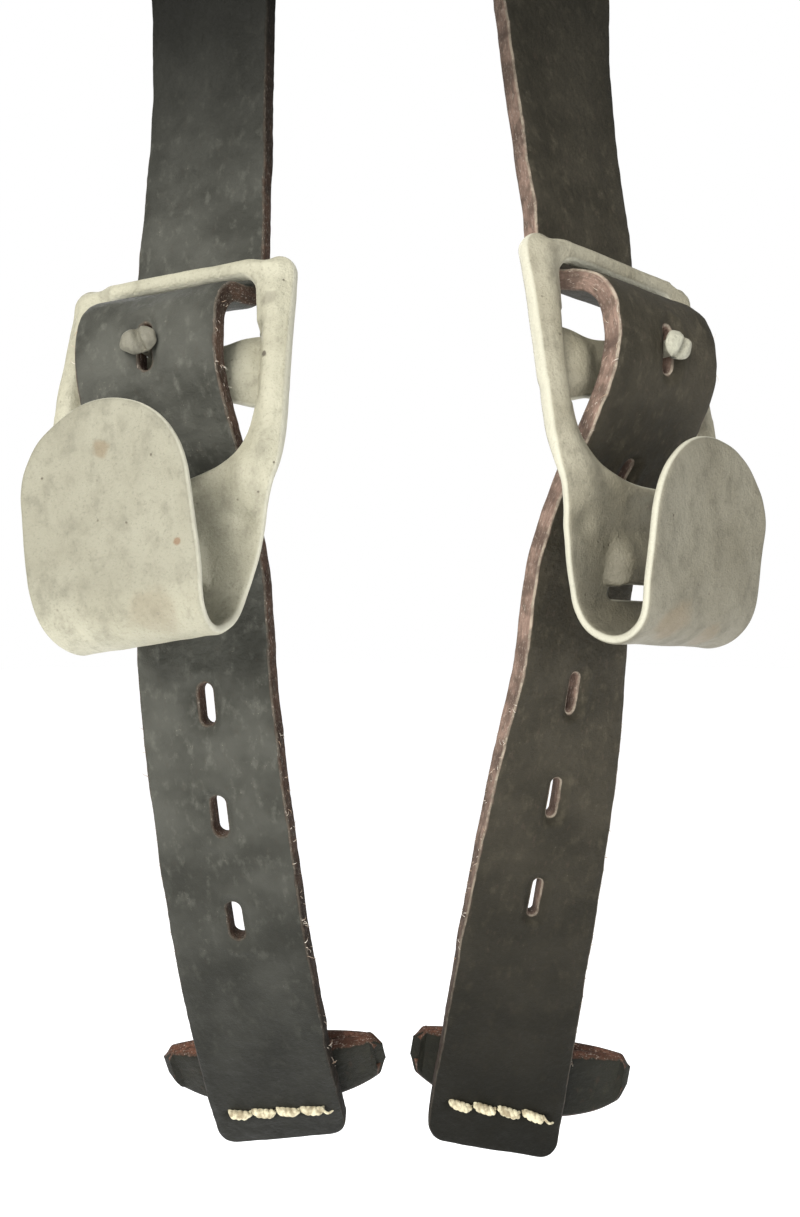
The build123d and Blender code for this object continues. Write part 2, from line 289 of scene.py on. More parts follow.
# ---- numbers and curves
def smooth(x, low, high):
    """0 below low, 1 above high and a smooth step between."""
    t = np.clip((np.asarray(x, float) - low) / (high - low), 0, 1)
    return t * t * (3 - 2 * t)


def bump(x, y, size):
    return np.exp(-(x * x + y * y) / (size * size))


def lumps(u, v, size, seed):
    """Smooth random heights from -1 to 1, with lumps of one size."""
    table = np.random.default_rng(seed).uniform(-1, 1, (64, 64))
    a, b = np.asarray(u, float) / size, np.asarray(v, float) / size
    i, j = np.floor(a).astype(int), np.floor(b).astype(int)
    s, t = smooth(a - i, 0, 1), smooth(b - j, 0, 1)

    def corner(di, dj):
        return table[(i + di) % 64, (j + dj) % 64]

    near = corner(0, 0) * (1 - s) + corner(1, 0) * s
    far = corner(0, 1) * (1 - s) + corner(1, 1) * s
    return near * (1 - t) + far * t


def softened(rows, step, width):
    """Rows averaged with their neighbours, with both ends kept in line."""
    reach = int(3 * width / step)
    weights = np.exp(-0.5 * (np.arange(-reach, reach + 1) * step / width) ** 2)
    weights /= weights.sum()
    rows = np.asarray(rows, float).reshape(len(rows), -1)
    before = 2 * rows[0] - rows[reach:0:-1]
    after = 2 * rows[-1] - rows[-2:-reach - 2:-1]
    padded = np.vstack([before, rows, after])
    return np.stack([np.convolve(c, weights, "valid") for c in padded.T], axis=1)


def bezier(points, count=160):
    t = np.linspace(0, 1, count)[:, None]
    a, b, c, d = (np.array(p, float) for p in points)
    s = 1 - t
    return a * s**3 + b * (3 * s * s * t) + c * (3 * s * t * t) + d * t**3


def arc(centre, radius, start, end, count=60):
    """Points on a circle in a plane, with angles in degrees."""
    t = np.radians(np.linspace(start, end, count))
    return np.stack([centre[0] + radius * np.cos(t), centre[1] + radius * np.sin(t)], axis=1)


def unit(v):
    return v / np.linalg.norm(v, axis=-1, keepdims=True)


def rounded(q, r, radius):
    """Distance outside a corner rounded to a radius, from the two distances past its centre."""
    return np.hypot(np.maximum(q, 0), np.maximum(r, 0)) + np.minimum(np.maximum(q, r), 0) - radius


class Ribbon:
    """A line in space with a width direction, looked up by the length v along it."""

    STEP = 0.25

    def __init__(self, points, across, soften=1.2):
        points, across = np.asarray(points, float), np.asarray(across, float)
        run = np.concatenate([[0], np.cumsum(np.linalg.norm(np.diff(points, axis=0), axis=1))])
        keep = np.concatenate([[True], np.diff(run) > 1e-6])
        run, points, across = run[keep], points[keep], across[keep]
        self.v = np.linspace(0, run[-1], int(run[-1] / self.STEP) + 1)
        even = np.stack([np.interp(self.v, run, c) for c in points.T], axis=1)
        wide = np.stack([np.interp(self.v, run, c) for c in across.T], axis=1)
        self.points = softened(even, self.STEP, soften)
        wide = softened(wide, self.STEP, 4 * soften)
        along = unit(np.gradient(self.points, axis=0))
        self.across = unit(wide - along * (wide * along).sum(1)[:, None])
        self.face = np.cross(along, self.across)
        self.along = along
        self.length = self.v[-1]

    def look(self, table, v):
        return np.stack([np.interp(v, self.v, c) for c in table.T], axis=-1)

    def place(self, u, v, w):
        """World points, in mm, for places on the sheet."""
        u, v, w = (np.asarray(x, float) for x in (u, v, w))
        return (
            self.look(self.points, v)
            + self.look(self.across, v) * u[..., None]
            + self.look(self.face, v) * w[..., None]
        )

    def nearest(self, point, first=0.0):
        """Length at which the line passes closest to a point."""
        far = np.linalg.norm(self.points - np.asarray(point), axis=1)
        far[self.v < first] = 1e9
        return self.v[far.argmin()]


# ---- meshes
def mesh_object(name, places, faces, material, flat=None, cut=None):
    """A smooth-shaded mesh from points in mm, with its material coordinates."""
    mesh = bpy.data.meshes.new(name)
    mesh.from_pydata((np.asarray(places) * MM).tolist(), [], [list(map(int, f)) for f in faces])
    mesh.update()
    mesh.polygons.foreach_set("use_smooth", [True] * len(mesh.polygons))
    flat = places if flat is None else flat
    cut = np.zeros(len(places)) if cut is None else cut
    kept = mesh.attributes.new("flat", "FLOAT_VECTOR", "POINT")
    kept.data.foreach_set("vector", np.asarray(flat, np.float32).ravel())
    edge = mesh.attributes.new("cut", "FLOAT", "POINT")
    edge.data.foreach_set("value", np.asarray(cut, np.float32))
    mesh.materials.append(material)
    made = bpy.data.objects.new(name, mesh)
    bpy.context.scene.collection.objects.link(made)
    return made


def put(piece, body, slot, *nodes):
    """Rides on a body, takes a material slot and stands for CAD nodes."""
    if body:
        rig.ride(piece, body)
    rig.slot(piece, slot)
    if nodes:
        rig.replaces(piece, *nodes)
    return piece


METAL_RIM = [(math.sin(a), math.cos(a)) for a in np.radians(np.linspace(0, 180, 9))]
LEATHER_RIM = (
    (0.0, 1.0), (0.38, 0.97), (0.75, 0.86), (0.95, 0.68), (1.0, 0.4), (1.0, 0.1),
    (1.0, -0.2), (1.0, -0.5), (0.92, -0.78), (0.6, -0.95), (0.0, -1.0),
)


def sheet(name, gap, span, step, place, faces, rim, edge, material, open_ends=(False, False)):
    """A sheet with thickness. gap(u, v) is negative inside its outline, faces(u, v) gives the
    heights of its two faces, and rim is the edge's profile as (outward, height) pairs.
    An open end has no rim, because another piece goes on from there."""
    u_low, u_high, v_low, v_high = span
    nu, nv = round((u_high - u_low) / step), round((v_high - v_low) / step)
    us, vs = np.linspace(u_low, u_high, nu + 1), np.linspace(v_low, v_high, nv + 1)
    cu, cv = np.meshgrid((us[1:] + us[:-1]) / 2, (vs[1:] + vs[:-1]) / 2, indexing="ij")
    cells = gap(cu, cv) < -edge
    walls = np.pad(cells, 1)
    if open_ends[0]:
        walls[:, 0] = walls[:, 1]
    if open_ends[1]:
        walls[:, -1] = walls[:, -2]
    corners = [walls[:-1, :-1], walls[1:, :-1], walls[:-1, 1:], walls[1:, 1:]]
    used, inner = np.any(corners, axis=0), np.all(corners, axis=0)
    border = used & ~inner
    u, v = np.meshgrid(us, vs, indexing="ij")
    index = np.cumsum(used.ravel()).reshape(used.shape) - 1
    i, j = np.nonzero(cells)
    a, b, c, d = index[i, j], index[i, j + 1], index[i + 1, j + 1], index[i + 1, j]
    sides = (
        (a, b, walls[i, j + 1]), (b, c, walls[i + 1, j + 2]),
        (c, d, walls[i + 2, j + 1]), (d, a, walls[i + 1, j]),
    )
    starts = np.concatenate([p[~there] for p, q, there in sides])
    ends = np.concatenate([q[~there] for p, q, there in sides])
    uv = np.stack([u[used], v[used]], axis=1)
    on_border = border[used]
    held = np.zeros(used.shape, bool)
    held[:, 0], held[:, -1] = open_ends
    held = held[used]
    rows = np.nonzero(on_border)[0]

    def slope(p, reach=0.05):
        du = gap(p[:, 0] + reach, p[:, 1]) - gap(p[:, 0] - reach, p[:, 1])
        dv = gap(p[:, 0], p[:, 1] + reach) - gap(p[:, 0], p[:, 1] - reach)
        return np.stack([du, dv], axis=1) / (2 * reach)

    def to_outline():
        p = uv[rows]
        g = slope(p)
        g[held[rows], 1] = 0
        off = (gap(p[:, 0], p[:, 1]) + edge) / np.maximum((g * g).sum(1), 0.2)
        off = np.clip(off, -step, step)
        uv[rows] = p - g * off[:, None]

    for _ in range(3):
        to_outline()
    for _ in range(4):
        total, count = np.zeros_like(uv), np.zeros(len(uv))
        for p, q in ((starts, ends), (ends, starts)):
            np.add.at(total, p, uv[q])
            np.add.at(count, p, 1)
        even = (count == 2) & on_border & ~held
        uv[even] = 0.5 * uv[even] + 0.5 * total[even] / 2
        to_outline()
        to_outline()
    grid_uv = np.zeros((*used.shape, 2))
    loose = inner[1:-1, 1:-1]
    for _ in range(6):
        grid_uv[used] = uv
        mean = (
            grid_uv[:-2, 1:-1] + grid_uv[2:, 1:-1] + grid_uv[1:-1, :-2] + grid_uv[1:-1, 2:]
        ) / 4
        grid_uv[1:-1, 1:-1][loose] = mean[loose]
        uv = grid_uv[used]

    front, back = faces(uv[:, 0], uv[:, 1])
    out = unit(slope(uv[rows]) + 1e-9)
    out[held[rows], 1] = 0
    middle, half = (front + back) / 2, (front - back) / 2
    layers, marks = [], []
    for far, high in rim[1:-1]:
        p = uv[rows] + out * (edge * far)
        w = middle[rows] + half[rows] * high
        layers.append(np.column_stack([p, w]))
        marks.append(np.full(len(rows), min(1.0, far * 1.05)))
    count, ring = len(uv), len(rows)
    flat = np.vstack([np.column_stack([uv, front]), *layers, np.column_stack([uv, back])])
    cut = np.concatenate([np.zeros(count), *marks, np.zeros(count)])
    rim_row = np.full(count, -1)
    rim_row[rows] = np.arange(ring)
    last = count + ring * len(layers)
    quads = [np.column_stack([a, b, c, d]), np.column_stack([d, c, b, a]) + last]
    near = (starts, ends)
    for k in range(len(layers) + 1):
        if k < len(layers):
            far = (count + ring * k + rim_row[starts], count + ring * k + rim_row[ends])
        else:
            far = (starts + last, ends + last)
        quads.append(np.column_stack([near[1], near[0], far[0], far[1]]))
        near = far
    return mesh_object(
        name, place(flat[:, 0], flat[:, 1], flat[:, 2]), np.vstack(quads), material, flat, cut
    )


def belt(near, far, sides):
    """Faces between two rings of points, from the number of each ring's first point."""
    around = [(k, (k + 1) % sides) for k in range(sides)]
    return [(near + k, near + nxt, far + nxt, far + k) for k, nxt in around]


def rings(name, places, material, flat=None, cut=None, closed=True):
    """A mesh from rows of points, each row a closed ring. Open ends are closed with a point."""
    count, sides = places.shape[:2]
    faces = []
    for i in range(count if closed else count - 1):
        faces += belt(i * sides, (i + 1) % count * sides, sides)
    points = places.reshape(-1, 3)
    if not closed:
        faces.append(tuple(range(sides))[::-1])
        faces.append(tuple((count - 1) * sides + k for k in range(sides)))
    if flat is not None:
        flat = flat.reshape(-1, 3)
    if cut is not None:
        cut = cut.ravel()
    return mesh_object(name, points, faces, material, flat, cut)


def tube(line, radius, sides=8):
    """Rings of points round a line, for rings()."""
    line = np.asarray(line, float)
    along = unit(np.gradient(line, axis=0))
    side = np.cross(along, (0.13, 0.21, 0.97))
    side = unit(side)
    other = np.cross(along, side)
    a = np.linspace(0, 2 * np.pi, sides, endpoint=False)
    radius = np.broadcast_to(radius, len(line))
    return (
        line[:, None]
        + side[:, None] * (np.cos(a)[None, :, None] * radius[:, None, None])
        + other[:, None] * (np.sin(a)[None, :, None] * radius[:, None, None])
    )


def bundle(name, tubes, material):
    """One mesh from many tubes."""
    points, faces, start = [], [], 0
    for rows in tubes:
        count, sides = rows.shape[:2]
        points.append(rows.reshape(-1, 3))
        for i in range(count - 1):
            faces += belt(start + i * sides, start + (i + 1) * sides, sides)
        faces.append(tuple(start + k for k in range(sides))[::-1])
        faces.append(tuple(start + (count - 1) * sides + k for k in range(sides)))
        start += count * sides
    return mesh_object(name, np.vstack(points), faces, material)


# ---- materials
class Finish:
    """A node material with short ways to add and link nodes."""

    def __init__(self, name):
        self.material = bpy.data.materials.new(name)
        self.material.use_nodes = True
        self.tree = self.material.node_tree
        self.shader = self.tree.nodes["Principled BSDF"]
        self.flat = self.attribute("flat", "Vector")
        self.cut = self.attribute("cut", "Fac")

    def attribute(self, name, output):
        made = self.tree.nodes.new("ShaderNodeAttribute")
        made.attribute_name = name
        return made.outputs[output]

    def fill(self, socket, value):
        if isinstance(value, bpy.types.NodeSocket):
            self.tree.links.new(value, socket)
        else:
            socket.default_value = value

    def math(self, kind, a, b=0.0, clamp=False):
        made = self.tree.nodes.new("ShaderNodeMath")
        made.operation = kind
        made.use_clamp = clamp
        self.fill(made.inputs[0], a)
        self.fill(made.inputs[1], b)
        return made.outputs[0]

    def scaled(self, scale, shift=(0, 0, 0)):
        """The sheet's own coordinates, stretched."""
        made = self.tree.nodes.new("ShaderNodeMapping")
        self.fill(made.inputs["Vector"], self.flat)
        made.inputs["Scale"].default_value = scale
        made.inputs["Location"].default_value = shift
        return made.outputs[0]

    def noise(self, scale, detail=3.0, stretch=(1, 1, 1), shift=(0, 0, 0), rough=0.55):
        """Noise with this many lumps in a millimetre."""
        made = self.tree.nodes.new("ShaderNodeTexNoise")
        self.fill(made.inputs["Vector"], self.scaled(stretch, shift))
        made.inputs["Scale"].default_value = scale
        made.inputs["Detail"].default_value = detail
        made.inputs["Roughness"].default_value = rough
        return made.outputs["Fac"]

    def cells(self, scale, feature="F1", stretch=(1, 1, 1), shift=(0, 0, 0)):
        made = self.tree.nodes.new("ShaderNodeTexVoronoi")
        made.feature = feature
        self.fill(made.inputs["Vector"], self.scaled(stretch, shift))
        made.inputs["Scale"].default_value = scale
        return made.outputs["Distance"]

    def part(self, axis):
        """One of the sheet's own coordinates: X is u, Y is v and Z is w."""
        made = self.tree.nodes.new("ShaderNodeSeparateXYZ")
        self.fill(made.inputs[0], self.flat)
        return made.outputs[axis]

    def step(self, value, low, high, out_low=0.0, out_high=1.0):
        """Value remapped from low-high to out_low-out_high, held at both ends."""
        made = self.tree.nodes.new("ShaderNodeMapRange")
        made.interpolation_type = "SMOOTHSTEP"
        self.fill(made.inputs["Value"], value)
        for name, number in (
            ("From Min", low), ("From Max", high), ("To Min", out_low), ("To Max", out_high),
        ):
            made.inputs[name].default_value = number
        return made.outputs["Result"]

    def blend(self, share, a, b):
        """Colour a where share is 0 and b where it is 1."""
        made = self.tree.nodes.new("ShaderNodeMix")
        made.data_type = "RGBA"
        self.fill(made.inputs["Factor"], share)
        for socket, value in ((made.inputs[6], a), (made.inputs[7], b)):
            self.fill(socket, value if isinstance(value, bpy.types.NodeSocket) else (*value, 1))
        return made.outputs[2]

    def spot(self, centre, radius, soft=0.5):
        """1 in a round spot of the sheet at (u, v), 0 outside it, with an uneven rim."""
        made = self.tree.nodes.new("ShaderNodeVectorMath")
        made.operation = "DISTANCE"
        flatten = self.tree.nodes.new("ShaderNodeVectorMath")
        flatten.operation = "MULTIPLY"
        self.fill(flatten.inputs[0], self.flat)
        flatten.inputs[1].default_value = (1, 1, 0)
        self.fill(made.inputs[0], flatten.outputs[0])
        made.inputs[1].default_value = (*centre, 0)
        ragged = self.math("MULTIPLY_ADD", self.noise(0.9 / radius, 3), radius)
        ragged.node.inputs[2].default_value = -0.5 * radius
        away = self.math("ADD", made.outputs["Value"], ragged)
        return self.step(away, radius * (1 - soft), radius, 1.0, 0.0)

    def raise_by(self, *heights):
        """Bumps from (value, height in mm) pairs."""
        normal = None
        for value, height in heights:
            made = self.tree.nodes.new("ShaderNodeBump")
            made.inputs["Distance"].default_value = height * MM
            self.fill(made.inputs["Height"], value)
            if normal is not None:
                self.fill(made.inputs["Normal"], normal)
            normal = made.outputs["Normal"]
        self.fill(self.shader.inputs["Normal"], normal)

    def done(self, colour, roughness, specular=0.5, metallic=0.0):
        self.fill(self.shader.inputs["Base Color"], colour)
        self.fill(self.shader.inputs["Roughness"], roughness)
        self.shader.inputs["Specular IOR Level"].default_value = specular
        self.shader.inputs["Metallic"].default_value = metallic
        return self.material


def leather(name, dark, pale, raw, seed, specks, top, end, rim):
    """Dry black-brown harness leather: pebbled grain, scuffs, and bare brown cut edges.
    top and end are the share of its tone that is left at the strap's two ends under its painted shade, specks is the
    strength of the pale scuffs, and rim is how far the cut edge's front corner is rubbed pale and given a painted
    highlight."""
    f = Finish(name)
    shift = (seed * 3.1, seed * 7.7, 0)
    broad = f.noise(0.09, 3, shift=shift)
    patchy = f.noise(0.5, 4, (1, 0.6, 1), shift, 0.65)
    pebble = f.cells(1.15, "SMOOTH_F1", shift=shift)
    fine = f.noise(3.2, 5, shift=shift, rough=0.7)
    tone = f.step(broad, 0.3, 0.72)
    colour = f.blend(tone, dark, pale)
    colour = f.blend(f.step(patchy, 0.5, 0.75, 0, 0.55), colour, [c * 1.7 for c in pale])
    scuffs = f.math("MULTIPLY", f.step(fine, 0.62, 0.70), f.step(patchy, 0.5, 0.66, 0, specks))
    colour = f.blend(scuffs, colour, (0.42, 0.38, 0.31))
    # worn corners, then the bare cut edge with its fibres
    ragged = f.math("ADD", f.cut, f.step(f.noise(1.1, 4, (1, 0.4, 1), shift), 0.3, 0.7, -0.3, 0.22))
    worn = f.step(ragged, 0.12, 0.5, 0, 0.85)
    colour = f.blend(worn, colour, [0.45 * c + 0.55 * d for c, d in zip(raw, dark)])
    fibres = f.noise(1.6, 5, (1, 0.25, 1.8), shift, 0.7)
    bare = f.blend(f.step(fibres, 0.35, 0.7), [c * 0.72 for c in raw], [min(1, c * 1.2) for c in raw])
    blotches = f.step(f.noise(0.16, 3, shift=shift), 0.42, 0.62, 0, 0.8)
    stained = f.blend(blotches, bare, [c * 0.3 for c in raw])
    colour = f.blend(f.step(ragged, 0.62, 0.95), colour, stained)
    tufts = f.step(f.noise(2.2, 5, (1, 0.5, 2), shift, 0.75), 0.55, 0.68, 0, 0.6)
    fray = f.math("MULTIPLY", f.step(f.cut, 0.2, 0.5), tufts)
    colour = f.blend(fray, colour, (0.58, 0.50, 0.42))
    # the front corner of a cut edge is rubbed pale, and a painted highlight runs along it
    corner = f.math("MULTIPLY", f.step(f.cut, 0.3, 0.5), f.step(f.part("Z"), 0.3, 0.9))
    corner = f.math("MULTIPLY", corner, f.step(f.cut, 1.0, 0.8))
    rub_and_highlight_breaks = f.step(f.noise(0.35, 4, shift=shift, rough=0.7), 0.38, 0.62, 0.25, 1)
    corner = f.math("MULTIPLY", corner, rub_and_highlight_breaks)
    colour = f.blend(f.math("MULTIPLY", corner, rim), colour, (0.56, 0.49, 0.38))
    # painted shade: darker towards the ring and towards the free end
    along = f.part("Y")
    painted_shade_top = f.step(along, *TOP_SHADE, 1 - top, 0.0)
    painted_shade_end = f.step(along, *END_SHADE, 0.0, 1 - end)
    colour = f.blend(f.math("MAXIMUM", painted_shade_top, painted_shade_end), colour, (0.003, 0.003, 0.0015))
    height = f.math("SUBTRACT", 1.0, pebble)
    f.raise_by((height, 0.14), (fine, 0.16), (f.noise(0.35, 3, shift=shift), 0.3))
    rough = f.step(patchy, 0.3, 0.75, 0.50, 0.66)
    rough = f.math("MAXIMUM", rough, f.step(f.cut, 0.4, 0.9, 0, 0.85))
    return f.done(colour, rough, 0.13)


def paint(name, base, shade, stains, seed, fade=(0.0, 1.0, 0.0)):
    """Old grey-cream paint on pressed steel: stains, pits, rust specks and bright cut edges.
    The last argument is the two lengths down the sheet between which painted shade darkens it, and by what share."""
    f = Finish(name)
    shift = (seed * 5.3, seed * 2.9, 0)
    broad = f.noise(0.07, 3, shift=shift)
    cloud = f.noise(0.35, 5, (1, 0.7, 1), shift, 0.65)
    grain = f.noise(2.6, 4, shift=shift, rough=0.7)
    colour = f.blend(f.step(broad, 0.3, 0.7), base, shade)
    colour = f.blend(f.step(cloud, 0.46, 0.72, 0, 0.6), colour, [c * 0.6 for c in shade])
    colour = f.blend(f.step(grain, 0.54, 0.68, 0, 0.4), colour, [c * 0.45 for c in shade])
    colour = f.blend(f.step(grain, 0.44, 0.3, 0, 0.22), colour, [min(1, c * 1.25) for c in base])
    shade_from, shade_to, share = fade
    # painted shade: the sheet darkens below the first length, fully by the second
    lower_shade = f.step(f.part("Y"), shade_from, shade_to, 0.0, share)
    colour = f.blend(lower_shade, colour, [c * 0.25 for c in shade])
    for centre, radius, tint, strength in stains:
        mark = f.math("MULTIPLY", f.spot(centre, radius), strength)
        colour = f.blend(mark, colour, tint)
    pit = f.step(f.cells(0.55, shift=shift), 0.0, 0.16, 1.0, 0.0)
    rare = f.math("MULTIPLY", pit, f.step(f.noise(0.22, 2, shift=shift), 0.56, 0.66))
    colour = f.blend(rare, colour, (0.10, 0.075, 0.05))
    colour = f.blend(f.step(f.cut, 0.5, 0.95, 0, 0.8), colour, BRIGHT)
    f.raise_by((grain, 0.16), (cloud, 0.45), (f.math("SUBTRACT", 1.0, rare), 0.25))
    return f.done(colour, f.step(cloud, 0.3, 0.7, 0.46, 0.62), 0.4)


def thread():
    """Waxed cream linen thread, a little dirty."""
    f = Finish("linen_thread")
    dirt = f.noise(0.9, 4)
    strands = f.noise(5.0, 3, (1, 1, 2.4))
    colour = f.blend(f.step(dirt, 0.38, 0.68), (0.72, 0.66, 0.46), (0.33, 0.27, 0.17))
    f.raise_by((strands, 0.12))
    return f.done(colour, 0.75, 0.3)


def fibre():
    """Pale loose fibres on a cut leather edge."""
    f = Finish("leather_fibre")
    colour = f.blend(f.step(f.noise(0.7, 2), 0.4, 0.6), (0.74, 0.68, 0.58), (0.42, 0.30, 0.21))
    return f.done(colour, 0.85, 0.2)


def steel():
    """Worn plain wire, drawn lengthwise."""
    f = Finish("ring_wire_steel")
    streaks = f.noise(0.9, 4, (0.12, 1, 1))
    dull = f.noise(0.25, 4)
    colour = f.blend(f.step(dull, 0.4, 0.7), (0.46, 0.45, 0.43), (0.26, 0.24, 0.21))
    f.raise_by((streaks, 0.05), (dull, 0.12))
    return f.done(colour, f.step(streaks, 0.3, 0.7, 0.3, 0.5), 0.5, 0.9)


# ---- one hook's own frame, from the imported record
def joint_place(name):
    found = [j for j in frame["record"]["behaviour"]["joints"] if j["name"] == name][0]
    return np.array(found["pos_m"]) / MM


def hook_axes(hand):
    """Origin, across, back and up of a hook, from its seat mount and the bend above it."""
    mount = [m for m in frame["record"]["mounts"] if m["name"] == f"hook_seat_{hand}"][0]
    seat, up = np.array(mount["pos_m"]) / MM, -unit(np.array(mount["axis"], float))
    climb = joint_place(f"strap_bend_{hand}") - seat
    back = unit(climb - up * (climb @ up))
    origin = seat - back * SEAT[0] - up * SEAT[1]
    return origin, np.cross(back, up), back, up


def in_world(axes, x, y, z):
    origin, across, back, up = axes
    x, y, z = (np.asarray(a, float)[..., None] for a in (x, y, z))
    return origin + across * x + back * y + up * z


# ---- straps
def strap_ribbon(hand, side, axes):
    """The whole strap's line, from the folded end at the ring to the free end."""
    loop_x = joint_place(f"swing_{hand}")[0]
    fold_end = -RING_HEIGHT - FOLD_DROP
    taper = -RING_HEIGHT - FOLD_TAPER
    layer = STRAP_THICKNESS / 2
    back_run = [(layer, fold_end), (layer, taper)]
    over_ring = arc((0, -RING_HEIGHT), LOOP_RADIUS, -12, 192)
    front_run = [(-layer, taper), (-layer, fold_end)]
    profile = np.vstack([
        np.linspace(*back_run, 20), over_ring, np.linspace(*front_run, 20),
    ])
    fold = np.column_stack([np.full(len(profile), loop_x), profile])
    flex = in_world(axes, 0, *UPPER_FLEX)
    upper = bezier((flex, side["upper_pull"], side["upper_rise"], (loop_x, -layer, fold_end)))[::-1]
    over = bezier((UPPER_FLEX, *OVER, CROWN))
    under = bezier((CROWN, *UNDER, LOWER_FLEX))
    wrap = in_world(axes, 0, *np.vstack([over, under[1:]]).T)
    low_flex = in_world(axes, 0, *LOWER_FLEX)
    tail = bezier((low_flex, side["tail_pull"], side["tail_curl"], side["tail_end"]))

    def turned(yaws, count):
        t = np.linspace(0, 1, count)
        s = 1 - t
        yaw = np.radians(sum(
            y * w for y, w in zip(yaws, (s**3, 3 * s * s * t, 3 * s * t * t, t**3))
        ))
        return np.column_stack([np.cos(yaw), np.sin(yaw), np.zeros(count)])

    across = np.vstack([
        np.tile((1.0, 0, 0), (len(fold), 1)),
        turned(side["upper_yaw"], len(upper))[::-1],
        np.tile(axes[1], (len(wrap), 1)),
        turned(side["tail_yaw"], len(tail)),
    ])
    ribbon = Ribbon(np.vstack([fold, upper, wrap, tail]), across)
    fold_length = 2 * FOLD_DROP
    marks = {
        "upper_flex": ribbon.nearest(flex, fold_length),
        "lower_flex": ribbon.nearest(low_flex, fold_length),
        "crown": ribbon.nearest(in_world(axes, 0, *CROWN), fold_length),
        "stitch": ribbon.nearest((loop_x, -layer, fold_end + 4), fold_length),
    }
    heights = (ribbon.points - axes[0]) @ axes[3]
    inside = (ribbon.v > marks["upper_flex"]) & (ribbon.v < marks["lower_flex"])
    marks["slots"] = [
        ribbon.v[inside][np.abs(heights[inside] - z).argmin()] for z in WRAP_SLOTS
    ] + [marks["lower_flex"] + FIRST_SLOT + k * SLOT_PITCH for k in range(3)]
    marks["seam"] = (marks["slots"][2] + marks["lower_flex"]) / 2
    return ribbon, marks


def slot_gap(u, v, centre, width):
    """Distance outside an oblong slot that runs along the strap."""
    reach = (SLOT_LENGTH - width) / 2
    return np.hypot(u, np.maximum(np.abs(v - centre) - reach, 0)) - width / 2


def strap_shapes(ribbon, marks, slot_widths, seed, stitch_rows):
    """The outline and the two faces of a strap, as functions of the sheet's u and v."""

    def slots_gap(u, v):
        return np.min([slot_gap(u, v, c, w) for c, w in zip(marks["slots"], slot_widths)], axis=0)

    def gap(u, v):
        edge = 0.16 * lumps(np.sign(u) * 9, v, 5.0, seed) + 0.05 * lumps(u, v, 1.1, seed + 1)
        half = STRAP_WIDTH / 2 - 0.15 + edge
        long = np.maximum(-v, v - ribbon.length)
        q, r = np.abs(u) - half + END_RADIUS, long + END_RADIUS
        return np.maximum(rounded(q, r, END_RADIUS), -slots_gap(u, v))

    def faces(u, v):
        slots = slots_gap(u, v)
        lip = 0.30 * np.exp(-((slots - 1.9) / 0.8) ** 2)
        lip = lip - 0.75 * np.exp(-np.maximum(slots - 0.45, 0) / 0.7)
        edges = 0.22 * smooth(np.abs(u), STRAP_WIDTH / 2 - 1.8, STRAP_WIDTH / 2 - 0.4)
        rough = 0.13 * lumps(u, v, 4.5, seed + 2) + 0.06 * lumps(u, v, 1.7, seed + 3)
        crease = 0.10 * lumps(u * 0.25, v, 1.5, seed + 4) * smooth(
            -np.abs(v - marks["crown"]), -26, -8
        )
        holes = np.zeros_like(u)
        for row_v, row_u in stitch_rows:
            for k in range(5):
                holes -= 0.55 * bump(u - row_u - (k - 2) * STITCH_PITCH, v - row_v, 0.75)
            holes -= 0.18 * np.exp(-((v - row_v) / 1.2) ** 2) * smooth(-np.abs(u - row_u), -11.0, -9.0)
        half = STRAP_THICKNESS / 2
        front = half - edges + rough + lip + crease + holes
        back = -half + edges + 0.10 * lumps(u, v, 2.6, seed + 5)
        return front, back

    return gap, faces


def stitch_tubes(ribbon, v_row, seed):
    """Four twisted stitches across a strap, and the thread's loose tail."""
    rng = np.random.default_rng(seed)
    tubes = []
    for k in range(4):
        centre = (k - 1.5) * STITCH_PITCH
        slant = rng.uniform(0.35, 0.6)
        t = np.linspace(-1, 1, 26)
        u = centre + t * (STITCH_PITCH / 2 - 0.25)
        v = v_row + slant * t + rng.uniform(-0.12, 0.12)
        w = STRAP_THICKNESS / 2 + 0.12 - 0.85 * np.abs(t) ** 6
        thick = 0.60 * (1 - 0.5 * np.abs(t) ** 3)
        phase = rng.uniform(0, np.pi)
        for ply in (0, np.pi):
            turn = 2.1 * np.pi * t + phase + ply
            line = ribbon.place(u, v - 0.34 * np.cos(turn), w + 0.26 * np.sin(turn))
            tubes.append(tube(line, thick * (1 + 0.06 * np.sin(9 * turn)), 10))
    t = np.linspace(0, 1, 16)
    u = 2 * STITCH_PITCH - 0.6 + 3.0 * t
    v = v_row - 0.2 + 0.9 * np.sin(2.4 * t)
    w = STRAP_THICKNESS / 2 - 0.3 + 0.75 * np.sin(np.pi * np.minimum(t * 1.3, 1))
    tubes.append(tube(ribbon.place(u, v, w), 0.30 * (1 - 0.55 * t), 8))
    return tubes


def fray_tubes(ribbon, spans, seed, count):
    """Short loose fibres along stretches of a strap's cut edges: (side, first v, last v)."""
    rng = np.random.default_rng(seed)
    tubes = []
    for side, first, last in spans:
        for _ in range(count):
            v0 = rng.uniform(first, last)
            reach, lean = rng.uniform(0.3, 0.85), rng.uniform(-1.3, 1.3)
            w0 = rng.uniform(-1.2, 1.75)
            t = np.linspace(0, 1, 6)
            u = side * (STRAP_WIDTH / 2 - 0.35 + (reach + 0.15) * np.sin(1.7 * t) * 0.9)
            v = v0 + lean * t**1.3
            w = w0 + rng.uniform(-0.5, 0.9) * t * t
            tubes.append(tube(ribbon.place(u, v, w), 0.055 * (1.15 - t), 4))
    return tubes


